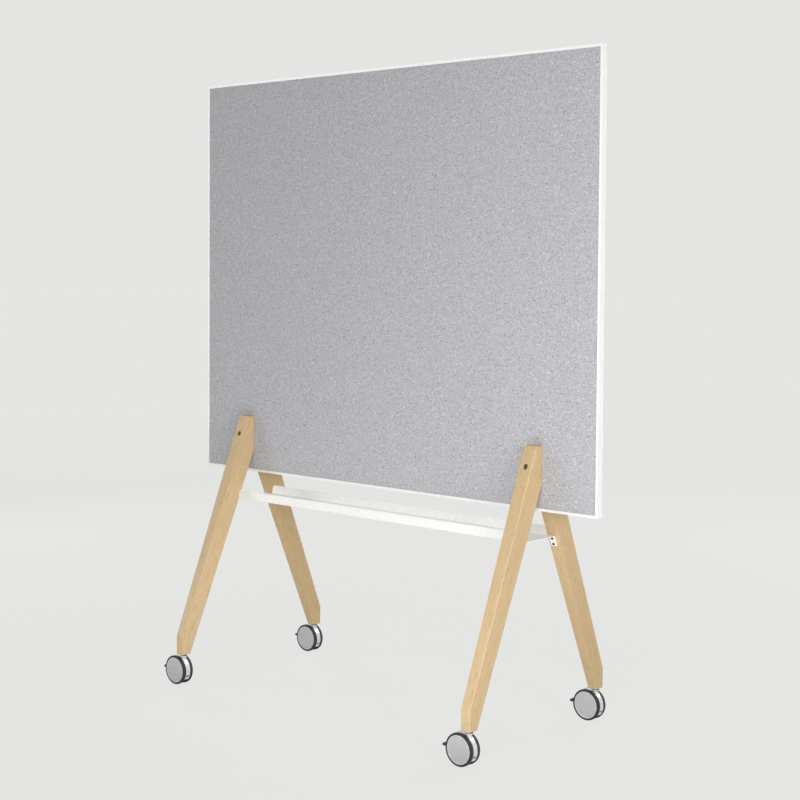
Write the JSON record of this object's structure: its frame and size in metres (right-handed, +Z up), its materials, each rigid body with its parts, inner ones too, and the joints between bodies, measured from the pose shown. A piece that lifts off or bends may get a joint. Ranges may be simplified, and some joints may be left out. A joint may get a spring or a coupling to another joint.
{
  "type": "mobile display board",
  "caption": "Felt pinboard in a slim white frame, clamped between splayed oak leg pairs with a steel tray, rolling on braked swivel casters.",
  "frame": {"origin": "on the floor, under the middle of the board", "axes": "+X along the board to the right seen from the front, -Y out of the front face, +Z up"},
  "size_m": [1.5, 0.587, 1.819],
  "materials": {
    "felt": "grey melange felt",
    "panel_core": "raw fibreboard",
    "white_frame": "white powder coat",
    "oak": "clear matt oil",
    "white_steel": "white powder coat",
    "bright_steel": "zinc plated",
    "black_screw": "black zinc",
    "dark_steel": "dark zinc",
    "hood_silver": "silver paint",
    "disc_grey": "moulded grey",
    "tyre_black": "soft tread",
    "pedal_black": "moulded black",
    "bush_white": "acetal",
    "pin_steel": "ground"
  },
  "bodies": {
    "stand": {"felt_front": "felt", "felt_rear": "felt", "board_core": "panel_core", "frame_top": "white_frame", "frame_bottom": "white_frame", "frame_left": "white_frame", "frame_right": "white_frame", "leg_front_left": "oak", "leg_front_right": "oak", "leg_rear_left": "oak", "leg_rear_right": "oak", "tray": "white_steel", "leg_bolts": "bright_steel", "leg_nuts": "bright_steel", "leg_washers": "bright_steel", "board_sleeves": "bright_steel", "corner_angles": "bright_steel", "caster_sockets": "bright_steel", "tray_screws": "black_screw", "caster_stems": "dark_steel"},
    "front_left_caster": {"front_left_caster_housing": "hood_silver", "front_left_caster_swivel_bush": "bush_white", "front_left_caster_axle": "pin_steel", "front_left_caster_brake_pin": "pin_steel"},
    "front_left_front_wheel": {"front_left_caster_front_hub": "disc_grey", "front_left_caster_front_tyre": "tyre_black"},
    "front_left_rear_wheel": {"front_left_caster_rear_hub": "disc_grey", "front_left_caster_rear_tyre": "tyre_black"},
    "front_left_brake": {"front_left_caster_brake_lever": "pedal_black"},
    "front_right_caster": {"front_right_caster_housing": "hood_silver", "front_right_caster_swivel_bush": "bush_white", "front_right_caster_axle": "pin_steel", "front_right_caster_brake_pin": "pin_steel"},
    "front_right_front_wheel": {"front_right_caster_front_hub": "disc_grey", "front_right_caster_front_tyre": "tyre_black"},
    "front_right_rear_wheel": {"front_right_caster_rear_hub": "disc_grey", "front_right_caster_rear_tyre": "tyre_black"},
    "front_right_brake": {"front_right_caster_brake_lever": "pedal_black"},
    "rear_left_caster": {"rear_left_caster_housing": "hood_silver", "rear_left_caster_swivel_bush": "bush_white", "rear_left_caster_axle": "pin_steel", "rear_left_caster_brake_pin": "pin_steel"},
    "rear_left_front_wheel": {"rear_left_caster_front_hub": "disc_grey", "rear_left_caster_front_tyre": "tyre_black"},
    "rear_left_rear_wheel": {"rear_left_caster_rear_hub": "disc_grey", "rear_left_caster_rear_tyre": "tyre_black"},
    "rear_left_brake": {"rear_left_caster_brake_lever": "pedal_black"},
    "rear_right_caster": {"rear_right_caster_housing": "hood_silver", "rear_right_caster_swivel_bush": "bush_white", "rear_right_caster_axle": "pin_steel", "rear_right_caster_brake_pin": "pin_steel"},
    "rear_right_front_wheel": {"rear_right_caster_front_hub": "disc_grey", "rear_right_caster_front_tyre": "tyre_black"},
    "rear_right_rear_wheel": {"rear_right_caster_rear_hub": "disc_grey", "rear_right_caster_rear_tyre": "tyre_black"},
    "rear_right_brake": {"rear_right_caster_brake_lever": "pedal_black"}
  },
  "joints": [
    {"name": "front_left_swivel", "type": "hinge", "parent": "stand", "child": "front_left_caster", "pos_m": [-0.553, -0.2755, 0.09], "axis": [0, 0, 1], "continuous": true},
    {"name": "front_left_front_wheel_spin", "type": "hinge", "parent": "front_left_caster", "child": "front_left_front_wheel", "pos_m": [-0.573, -0.2755, 0.043], "axis": [0, 1, 0], "continuous": true},
    {"name": "front_left_rear_wheel_spin", "type": "hinge", "parent": "front_left_caster", "child": "front_left_rear_wheel", "pos_m": [-0.573, -0.2755, 0.043], "axis": [0, 1, 0], "continuous": true},
    {"name": "front_left_brake_press", "type": "hinge", "parent": "front_left_caster", "child": "front_left_brake", "pos_m": [-0.59508, -0.2755, 0.05575], "axis": [0, -1, 0], "range_deg": [0, 14]},
    {"name": "front_right_swivel", "type": "hinge", "parent": "stand", "child": "front_right_caster", "pos_m": [0.553, -0.2755, 0.09], "axis": [0, 0, 1], "continuous": true},
    {"name": "front_right_front_wheel_spin", "type": "hinge", "parent": "front_right_caster", "child": "front_right_front_wheel", "pos_m": [0.533, -0.2755, 0.043], "axis": [0, 1, 0], "continuous": true},
    {"name": "front_right_rear_wheel_spin", "type": "hinge", "parent": "front_right_caster", "child": "front_right_rear_wheel", "pos_m": [0.533, -0.2755, 0.043], "axis": [0, 1, 0], "continuous": true},
    {"name": "front_right_brake_press", "type": "hinge", "parent": "front_right_caster", "child": "front_right_brake", "pos_m": [0.51092, -0.2755, 0.05575], "axis": [0, -1, 0], "range_deg": [0, 14]},
    {"name": "rear_left_swivel", "type": "hinge", "parent": "stand", "child": "rear_left_caster", "pos_m": [-0.553, 0.2755, 0.09], "axis": [0, 0, 1], "continuous": true},
    {"name": "rear_left_front_wheel_spin", "type": "hinge", "parent": "rear_left_caster", "child": "rear_left_front_wheel", "pos_m": [-0.573, 0.2755, 0.043], "axis": [0, 1, 0], "continuous": true},
    {"name": "rear_left_rear_wheel_spin", "type": "hinge", "parent": "rear_left_caster", "child": "rear_left_rear_wheel", "pos_m": [-0.573, 0.2755, 0.043], "axis": [0, 1, 0], "continuous": true},
    {"name": "rear_left_brake_press", "type": "hinge", "parent": "rear_left_caster", "child": "rear_left_brake", "pos_m": [-0.59508, 0.2755, 0.05575], "axis": [0, -1, 0], "range_deg": [0, 14]},
    {"name": "rear_right_swivel", "type": "hinge", "parent": "stand", "child": "rear_right_caster", "pos_m": [0.553, 0.2755, 0.09], "axis": [0, 0, 1], "continuous": true},
    {"name": "rear_right_front_wheel_spin", "type": "hinge", "parent": "rear_right_caster", "child": "rear_right_front_wheel", "pos_m": [0.533, 0.2755, 0.043], "axis": [0, 1, 0], "continuous": true},
    {"name": "rear_right_rear_wheel_spin", "type": "hinge", "parent": "rear_right_caster", "child": "rear_right_rear_wheel", "pos_m": [0.533, 0.2755, 0.043], "axis": [0, 1, 0], "continuous": true},
    {"name": "rear_right_brake_press", "type": "hinge", "parent": "rear_right_caster", "child": "rear_right_brake", "pos_m": [0.51092, 0.2755, 0.05575], "axis": [0, -1, 0], "range_deg": [0, 14]}
  ]
}
